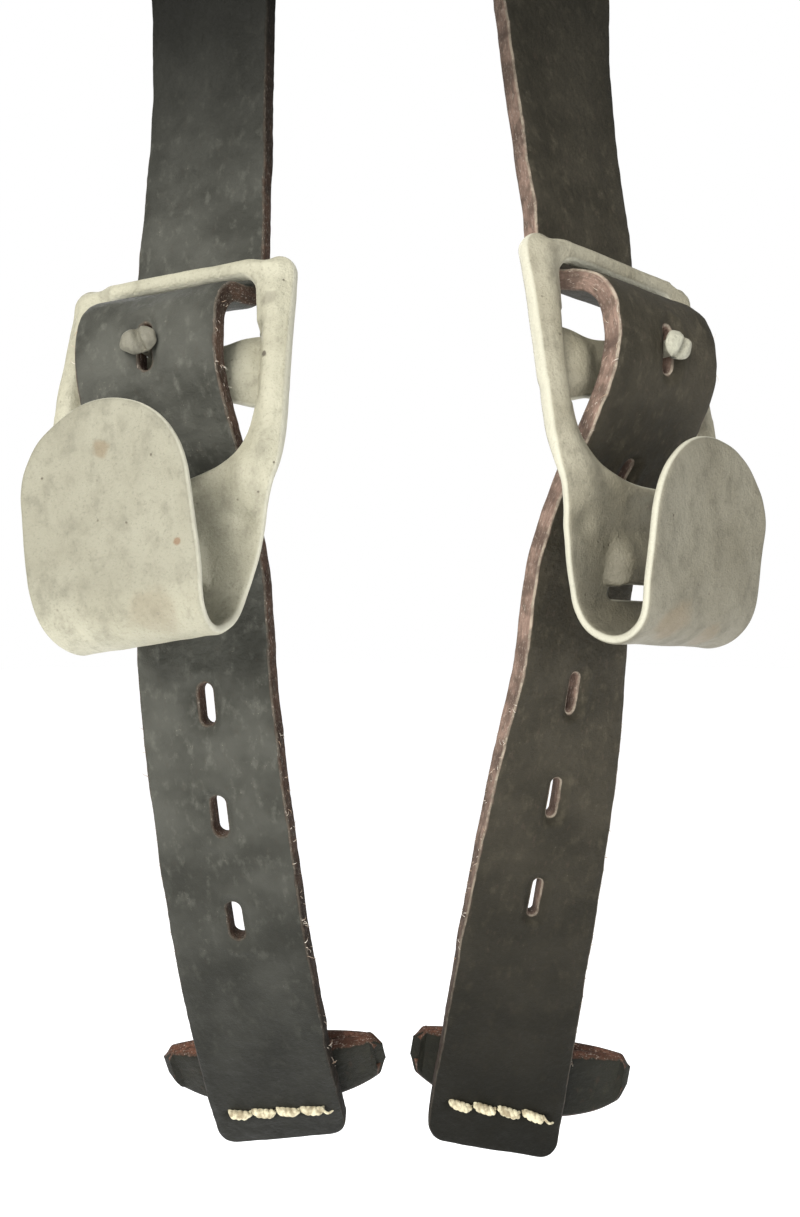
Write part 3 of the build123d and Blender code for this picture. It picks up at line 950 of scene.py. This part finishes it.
def make_straps(hand, side, axes, looks):
    ribbon, marks = strap_ribbon(hand, side, axes)
    seed = side["seed"]
    low_row = ribbon.length - STITCHES_FROM_END
    rows = ((low_row, 0.0), (marks["stitch"], 0.0))
    gap, faces = strap_shapes(ribbon, marks, side["slot_widths"], seed, rows)
    half, step = STRAP_WIDTH / 2 + 1.0, 0.5
    upper = sheet(
        f"leather_upper_{hand}", gap, (-half, half, -0.5, marks["seam"]), step, ribbon.place,
        faces, LEATHER_RIM, 0.55, looks["leather"], (False, True),
    )
    tail = sheet(
        f"leather_tail_{hand}", gap, (-half, half, marks["seam"], ribbon.length + 0.5), step,
        ribbon.place, faces, LEATHER_RIM, 0.55, looks["leather"], (True, False),
    )
    put(upper, None, "leather_dark", f"strap_upper_{hand}", f"strap_wrap_{hand}")
    put(tail, None, "leather_dark", f"strap_tail_{hand}")

    def bend(piece, first, second, height, reach):
        points = (in_world(axes, 0, 8.5, height + s * reach) * MM for s in (1, -1))
        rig.blend(piece, first, second, *(tuple(p) for p in points))

    bend(upper, f"upper_{hand}", f"hook_unit_{hand}", UPPER_FLEX[1] + 1.0, 6.0)
    bend(tail, f"hook_unit_{hand}", f"tail_{hand}", LOWER_FLEX[1] - 1.5, 5.0)
    for name, v_row, body in (
        ("keeper_stitches", low_row, "tail"), ("loop_stitches", marks["stitch"], "upper"),
    ):
        row = bundle(f"thread_{name}_{hand}", stitch_tubes(ribbon, v_row, seed), looks["thread"])
        put(row, f"{body}_{hand}", "thread", f"{name}_{hand}")
    low = marks["lower_flex"]
    fray = bundle(
        f"edge_fibres_{hand}",
        fray_tubes(ribbon, ((-1, low + 8, low + 60), (1, low + 12, low + 80)), seed, 45),
        looks["fibre"],
    )
    put(fray, f"tail_{hand}", "leather_dark")
    crown = marks["crown"]
    fuzz = bundle(
        f"wrap_fibres_{hand}",
        fray_tubes(ribbon, ((-1, crown - 9, crown + 16), (1, crown - 9, crown + 16)), seed + 1, 12),
        looks["fibre"],
    )
    put(fuzz, f"hook_unit_{hand}", "leather_dark")
    return ribbon


# ---- hooks
def make_hook(hand, side, axes, look):
    top = np.array((LIP[0] + (1.0 - LIP[0]) * LIP[1] / (LIP[1] + BAR_RADIUS), 0.0))
    rise = (BEND_CENTRE[0] + BEND_RADIUS, BEND_CENTRE[1])
    bend = arc(BEND_CENTRE, BEND_RADIUS, 0, -180)
    tip = (-17.9, side["tip_z"])
    blade = bezier(((-16.85, BEND_CENTRE[1]), (-17.6, -50.5), (-18.4, -38.0), tip))
    profile = np.vstack([
        np.linspace(top, LIP, 80), np.linspace(LIP, rise, 40)[1:], bend[1:], blade[1:],
    ])
    line = in_world(axes, 0, profile[:, 0], profile[:, 1])
    ribbon = Ribbon(line, np.tile(axes[1], (len(line), 1)), 1.0)
    heights = (ribbon.points - axes[0]) @ axes[3]
    bottom = ribbon.v[heights.argmin()]
    down, rising = ribbon.v <= bottom, ribbon.v >= bottom

    def front_v(z):
        return np.interp(-z, -heights[down], ribbon.v[down])

    blade_v = np.interp(-54.0, heights[rising], ribbon.v[rising])
    tip_v = ribbon.length - BLADE_RADIUS
    width_v = [front_v(z) for z, _ in FRAME_WIDTHS] + [bottom, blade_v, tip_v, ribbon.length]
    widths = [half for _, half in FRAME_WIDTHS] + [11.6, 13.9, BLADE_RADIUS, BLADE_RADIUS]
    table = softened(np.interp(ribbon.v, width_v, widths), ribbon.STEP, 1.6)[:, 0]
    arch_v, open_v, foot_v = front_v(ARCH_Z), front_v(-OPENING_TOP), front_v(OPENING_FOOT)
    cross_v, tongue_top, tongue_low = front_v(CROSSBAR_Z), front_v(TONGUE[0]), front_v(TONGUE[1])
    hole_v = tongue_low + TONGUE_HOLE / 2
    seed = side["seed"] + 40
    pivot_z = -58.0

    def place(u, v, w):
        """The bent sheet, with the blade leaning a little to one side."""
        points = ribbon.place(u, v, w)
        share = smooth(v, front_v(-50), bottom + 2)
        local = points - axes[0]
        x, z = local @ axes[1], local @ axes[3]
        turn = (side["lean"] * share)[..., None]
        return points - axes[1] * turn * (z - pivot_z)[..., None] + axes[3] * turn * x[..., None]

    def outer(u, v):
        """Distance outside the hook's own outline."""
        half = np.interp(v, ribbon.v, table)
        ear = -0.5 * smooth(np.abs(u), 10.0, 19.0)
        corner = 3.4
        q, r = np.abs(u) - half + corner, ear + corner - v
        body = rounded(q, r, corner)
        tip_gap = np.hypot(u, v - tip_v) - BLADE_RADIUS
        return np.where(v > tip_v, tip_gap, body)

    def opening(u, v):
        """Distance outside the whole strap opening, crossbar left out."""
        corner = 2.5
        spread = np.clip((v - open_v) / (arch_v - open_v), 0, 1)
        half = OPENING_TOP_HALF + (OPENING_HALF - OPENING_TOP_HALF) * np.sin(spread * np.pi / 2)
        q, r = np.abs(u) - half + corner, open_v + corner - v
        box = rounded(q, r, corner)
        deep = foot_v - arch_v
        round_share = (np.abs(u) / OPENING_HALF) ** 2.6 + (np.maximum(v - arch_v, 0) / deep) ** 2.6
        foot = (round_share ** (1 / 2.6) - 1) * deep
        return np.where(v > arch_v, foot, box)

    def crossbar(u, v):
        """Distance outside the crossbar, which flares where it meets the sides."""
        flare = 1.2 * smooth(np.abs(u), 9.0, OPENING_HALF) + 1.3 * bump(u, 0, 4.5)
        return np.abs(v - cross_v) - CROSSBAR_HALF - flare

    def gap(u, v):
        window = np.maximum(opening(u, v), -crossbar(u, v))
        corner = 1.2
        q, r = np.abs(u) - HOLE_HALF + corner, np.abs(v - hole_v) - TONGUE_HOLE / 2 + corner
        hole = rounded(q, r, corner)
        return np.max([outer(u, v), -window, -hole], axis=0)

    def middle(u, v):
        """Height of the sheet's middle above the plain bent profile."""
        wide = np.abs(u)
        outside, inside = -outer(u, v), opening(u, v)
        sides = 1 - smooth(v, arch_v + 6, arch_v + 17)
        sides = sides * np.maximum(smooth(wide, 12.5, 16.5), smooth(v, 3.0, 6.0))
        q = np.clip(1 - outside / 3.6, 0, 0.97)
        channel = -3.2 * (1 - np.sqrt(1 - q * q)) * sides
        deep = 1.9 + 0.8 * smooth(-np.abs(v - cross_v), -CROSSBAR_HALF - 3, -CROSSBAR_HALF)
        q = np.clip(1 - inside / 2.6, 0, 0.97)
        channel -= deep * (1 - np.sqrt(1 - q * q)) * sides * smooth(v, 2.5, 5.0)
        angle = np.degrees(np.arctan2(np.maximum(v - arch_v, 0), wide))
        rib = 0.9 * np.exp(-((inside - 3.3) / 2.0) ** 2) * (1 - smooth(angle, 38, 52)) * smooth(v, 3, 8)
        neck = 0.8 * np.exp(-((inside - 0.6) / 1.2) ** 2) * smooth(angle, 38, 62)
        dimple = -0.8 * bump(wide - 14.2, v - front_v(-44.5), 1.8)
        swell = 0.8 * bump(wide - 14.6, v - front_v(-39.5), 3.2)
        across = smooth(TONGUE_HALF - wide, 0, 3.6)
        press = smooth(v, tongue_top - 0.5, tongue_low - 2.5)
        tongue = 3.0 * across * press * (v < tongue_low + 0.4)
        dish = 0.7 * (1 - (u / BLADE_RADIUS) ** 2) * smooth(v, blade_v, tip_v)
        plain = channel + rib + neck + dimple + swell + tongue + dish
        bar = -2.1 + 1.5 * (1 - (np.minimum(wide, OPENING_HALF) / OPENING_HALF) ** 2)
        shoulder = 2.0 * bump(wide - 12.6, (v - cross_v) * 0.75, 3.4)
        bar += shoulder - 0.6 * smooth(crossbar(u, v), -2.5, 0)
        share = 1 - smooth(wide, 14.4, 17.6)
        share = share * np.where(crossbar(u, v) < 0, 1, 1 - smooth(crossbar(u, v), 0.2, 2.0))
        dents = 0.24 * lumps(u, v, 7.0, seed) + 0.06 * lumps(u, v, 2.3, seed + 1)
        return plain * (1 - share) + bar * share + dents

    def faces(u, v):
        reach = 0.15
        du = (middle(u + reach, v) - middle(u - reach, v)) / (2 * reach)
        dv = (middle(u, v + reach) - middle(u, v - reach)) / (2 * reach)
        steep = np.minimum(np.sqrt(1 + du * du + dv * dv), 2.0)
        half = SHEET / 2 * steep
        rolled = np.sqrt(np.maximum(BAR_RADIUS**2 - (v - BAR_RADIUS) ** 2, 0.8**2))
        share = (1 - smooth(v, 2.2, 4.6)) * (1 - smooth(np.abs(u), 15.0, 18.0))
        half = half * (1 - share) + rolled * share
        half = half + 0.5 * bump(np.abs(u) - 17.6, v - 2.0, 2.4)
        height = middle(u, v)
        return height + half, height - half

    hook = sheet(
        f"stamped_hook_{hand}", gap, (-HOOK_HALF - 1, HOOK_HALF + 1, -2.0, ribbon.length + 1),
        0.5, place, faces, METAL_RIM, SHEET / 2, look,
    )
    put(hook, f"hook_unit_{hand}", "hook_paint", f"hook_{hand}")


def make_stud(hand, side, axes, look):
    """A short post with a notched, two-lobed head."""
    form = bmesh.new()
    bmesh.ops.create_icosphere(form, subdivisions=5, radius=1.0)
    lean = math.radians(side["stud_lean"])
    points = []
    for vertex in form.verts:
        x, y, z = vertex.co
        lobe = 1 + 0.10 * wave.noise(Vector((x * 1.7, y * 1.7, z * 1.7 + side["seed"])))
        px, pz = 3.1 * x * lobe, 2.15 * z * lobe
        off = px * math.cos(lean) + pz * math.sin(lean) - 0.35
        groove = math.exp(-((off / 0.55) ** 2))
        py = 1.2 * y * lobe
        if py < 0:
            py += 1.0 * groove
        else:
            py *= 0.5
        squeeze = 1 - 0.16 * groove
        points.append((px, STUD_HEAD_Y + py, STUD_Z + pz * squeeze))
    faces = [[v.index for v in f.verts] for f in form.faces]
    form.free()
    local = np.array(points)
    radii = (
        (STUD_FOOT_Y + 0.3, 2.3), (STUD_FOOT_Y, 2.2), (-3.2, 1.6), (-4.2, 1.3), (-10.0, 1.3),
        (-10.9, 1.8),
    )
    around = 28
    turns = np.linspace(0, 2 * np.pi, around, endpoint=False)
    start = len(local)
    for y, r in radii:
        ring = np.column_stack([r * np.cos(turns), np.full(around, y), STUD_Z + r * np.sin(turns)])
        local = np.vstack([local, ring])
    for k in range(len(radii) - 1):
        faces += belt(start + k * around, start + (k + 1) * around, around)
    faces.append([start + i for i in range(around)][::-1])
    faces.append([start + (len(radii) - 1) * around + i for i in range(around)])
    world = in_world(axes, *local.T)
    stud = mesh_object(f"notched_stud_{hand}", world, faces, look, local)
    put(stud, f"hook_unit_{hand}", "stud_paint", f"stud_{hand}")


# ---- keepers and ring
def make_keeper(hand, side, ribbon, look):
    """A flattened leather loop with a hanging belly, behind the strap's end."""
    v = ribbon.length - KEEPER_FROM_END - KEEPER_HEIGHT / 2
    centre, across = ribbon.look(ribbon.points, v), ribbon.look(ribbon.across, v)
    front, up = ribbon.look(ribbon.face, v), -ribbon.look(ribbon.along, v)
    seed = side["seed"] + 70
    stations = 170
    t = np.linspace(0, 2 * np.pi, stations, endpoint=False)
    x = KEEPER_HALF * np.sign(np.cos(t)) * np.abs(np.cos(t)) ** 0.85
    y = KEEPER_DEPTH * np.sign(np.sin(t)) * np.abs(np.sin(t)) ** 1.15
    outline = np.stack([x, y], axis=1)
    run = unit(np.roll(outline, -1, 0) - np.roll(outline, 1, 0))
    outward = np.stack([run[:, 1], -run[:, 0]], axis=1)
    share = np.abs(x) / KEEPER_HALF
    low = -KEEPER_HEIGHT / 2 + (KEEPER_HEIGHT / 2 - 1.5) * share**2.4 + 0.25 * lumps(x, y, 6, seed)
    low = low + 2.2 * smooth(share, 0.93, 1.0)
    high = KEEPER_HEIGHT / 2 - 1.8 * smooth(share, 0.91, 1.0) + 0.2 * lumps(x, y, 7, seed + 1)
    steps = np.linspace(0.06, 0.94, 12)
    section = (
        [(0.0, s, 0.0) for s in steps]
        + [(0.10, 0.985, 0.6), (0.35, 1.0, 1.0), (0.65, 1.0, 1.0), (0.90, 0.985, 0.7)]
        + [(1.0, s, 0.0) for s in steps[::-1]]
        + [(0.90, 0.015, 0.7), (0.65, 0.0, 1.0), (0.35, 0.0, 1.0), (0.10, 0.015, 0.6)]
    )
    places, flats, cuts = [], [], []
    offset = -STRAP_THICKNESS / 2 - 0.5 - KEEPER_DEPTH
    length = np.concatenate([[0], np.cumsum(np.linalg.norm(np.diff(outline, axis=0), axis=1))])
    for depth, rise, mark in section:
        inward = outline - outward * (depth * KEEPER_WALL)
        height = low + (high - low) * rise
        wavy = 0.18 * lumps(length, height, 5.0, seed + 2) * (1 if depth < 0.5 else -0.4)
        spot = inward + outward * wavy[:, None]
        world = (
            centre + across * (spot[:, :1] + side["keeper_shift"])
            + front * (spot[:, 1:] + offset) + up * height[:, None]
        )
        places.append(world)
        flats.append(np.stack([length, height, np.full(stations, -depth * KEEPER_WALL)], axis=1))
        cuts.append(np.full(stations, mark))
    piece = rings(
        f"leather_keeper_{hand}", np.stack(places, axis=1), look,
        np.stack(flats, axis=1), np.stack(cuts, axis=1),
    )
    put(piece, f"tail_{hand}", "keeper_leather", f"keeper_{hand}")


def make_ring(look):
    """Drawn steel wire bent to a long rounded ring."""
    wide, high = RING_WIDTH / 2 - RING_CORNER, RING_HEIGHT / 2 - RING_CORNER
    corners = ((wide, high, 0), (-wide, high, 90), (-wide, -high, 180), (wide, -high, 270))
    parts = []
    for (x, z, turn), nxt in zip(corners, corners[1:] + corners[:1]):
        bend = arc((x, z), RING_CORNER, turn, turn + 90, 24)
        first = arc((nxt[0], nxt[1]), RING_CORNER, nxt[2], nxt[2], 1)[0]
        run = np.linspace(bend[-1], first, 60)[1:-1]
        parts += [bend, run]
    loop = np.vstack(parts)
    line = np.column_stack([loop[:, 0], np.zeros(len(loop)), loop[:, 1] - RING_HEIGHT / 2])
    along = unit(np.roll(line, -1, 0) - np.roll(line, 1, 0))
    side = np.cross(along, (0, 1, 0))
    a = np.linspace(0, 2 * np.pi, 28, endpoint=False)
    length = np.arange(len(loop)) * 1.0
    radius = RING_WIRE / 2 - 0.03 + 0.03 * lumps(length, 0, 6.0, 5)
    places = (
        line[:, None] + side[:, None] * (np.cos(a)[None, :, None] * radius[:, None, None])
        + np.array((0.0, 1.0, 0.0)) * (np.sin(a)[None, :, None] * radius[:, None, None])
    )
    flat = np.stack(np.broadcast_arrays(length[:, None], a[None, :] * 2.5, 0.0), axis=-1)
    piece = rings("wire_ring", places, look, flat)
    put(piece, "ring", "ring_steel", "top_ring")


# ---- the pair
cream = thread()
pale_fibre = fibre()
black = leather("keeper_black", **KEEPER_LOOK)
for hand, side in SIDES.items():
    axes, look = hook_axes(hand), LOOKS[hand]
    hide = leather(f"strap_leather_{hand}", **look["leather"])
    coat = paint(f"hook_paint_{hand}", **look["paint"])
    knob = paint(f"stud_paint_{hand}", **look["stud"])
    line = make_straps(hand, side, axes, {"leather": hide, "thread": cream, "fibre": pale_fibre})
    make_hook(hand, side, axes, coat)
    make_stud(hand, side, axes, knob)
    make_keeper(hand, side, line, black)
make_ring(steel())

# ---- stage, light and camera
low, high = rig.bounds()
aim = (low + high) / 2


def pale(name, colour, roughness, glow):
    made = bpy.data.materials.new(name)
    made.use_nodes = True
    shader = made.node_tree.nodes["Principled BSDF"]
    shader.inputs["Base Color"].default_value = (*colour, 1)
    shader.inputs["Roughness"].default_value = roughness
    shader.inputs["Emission Color"].default_value = (1, 1, 1, 1)
    shader.inputs["Emission Strength"].default_value = glow
    return made


ground = bmesh.new()
bmesh.ops.create_circle(ground, cap_ends=True, segments=96, radius=6.0)
floor_mesh = bpy.data.meshes.new("studio_floor")
ground.to_mesh(floor_mesh)
ground.free()
floor = bpy.data.objects.new("studio_floor", floor_mesh)
floor.location = (0, 0, low.z - 0.3)
floor_mesh.materials.append(pale("floor_pale", (0.9, 0.9, 0.9), 0.9, 0.8))
bpy.context.scene.collection.objects.link(floor)
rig.stage(floor)

world = bpy.data.worlds.new("studio")
world.use_nodes = True
shade = world.node_tree.nodes["Background"]
shade.inputs["Color"].default_value = (0.93, 0.96, 1.0, 1)
shade.inputs["Strength"].default_value = 0.32
seen = world.node_tree.nodes.new("ShaderNodeBackground")
seen.inputs["Color"].default_value = (1, 1, 1, 1)
paths = world.node_tree.nodes.new("ShaderNodeLightPath")
either = world.node_tree.nodes.new("ShaderNodeMixShader")
for source, target in (
    (paths.outputs["Is Camera Ray"], either.inputs[0]), (shade.outputs[0], either.inputs[1]),
    (seen.outputs[0], either.inputs[2]),
    (either.outputs[0], world.node_tree.nodes["World Output"].inputs["Surface"]),
):
    world.node_tree.links.new(source, target)
bpy.context.scene.world = world
bpy.context.scene.view_settings.view_transform = "Standard"


def area(name, place, size, watts, tint=(1, 1, 1)):
    light = bpy.data.lights.new(name, "AREA")
    light.size, light.energy, light.color = size, watts, tint
    lamp = bpy.data.objects.new(name, light)
    lamp.location = place
    lamp.rotation_euler = (aim - Vector(place)).to_track_quat("-Z", "Y").to_euler()
    bpy.context.scene.collection.objects.link(lamp)


area("key_light", (-0.40, -0.72, 0.26), 0.6, 11.0, (1.0, 0.985, 0.95))
area("fill_light", (0.6, -0.7, -0.1), 0.7, 3.0, (0.97, 0.98, 1.0))
area("rim_light", (-0.2, 0.6, 0.2), 0.5, 3.0)

camera = bpy.data.objects.new("camera", bpy.data.cameras.new("camera"))
camera.location = (0, -0.151, -0.181)
camera.rotation_euler = (math.radians(90), 0, 0)
camera.data.lens = 25.14
camera.data.clip_start = 0.01
bpy.context.scene.collection.objects.link(camera)
bpy.context.scene.camera = camera

boxes = {"cad": [list(c) for c in cad_box], "visual": [list(c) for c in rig.bounds()]}
with open(SIZE_FILE, "w") as out:
    json.dump(boxes, out, indent=1)
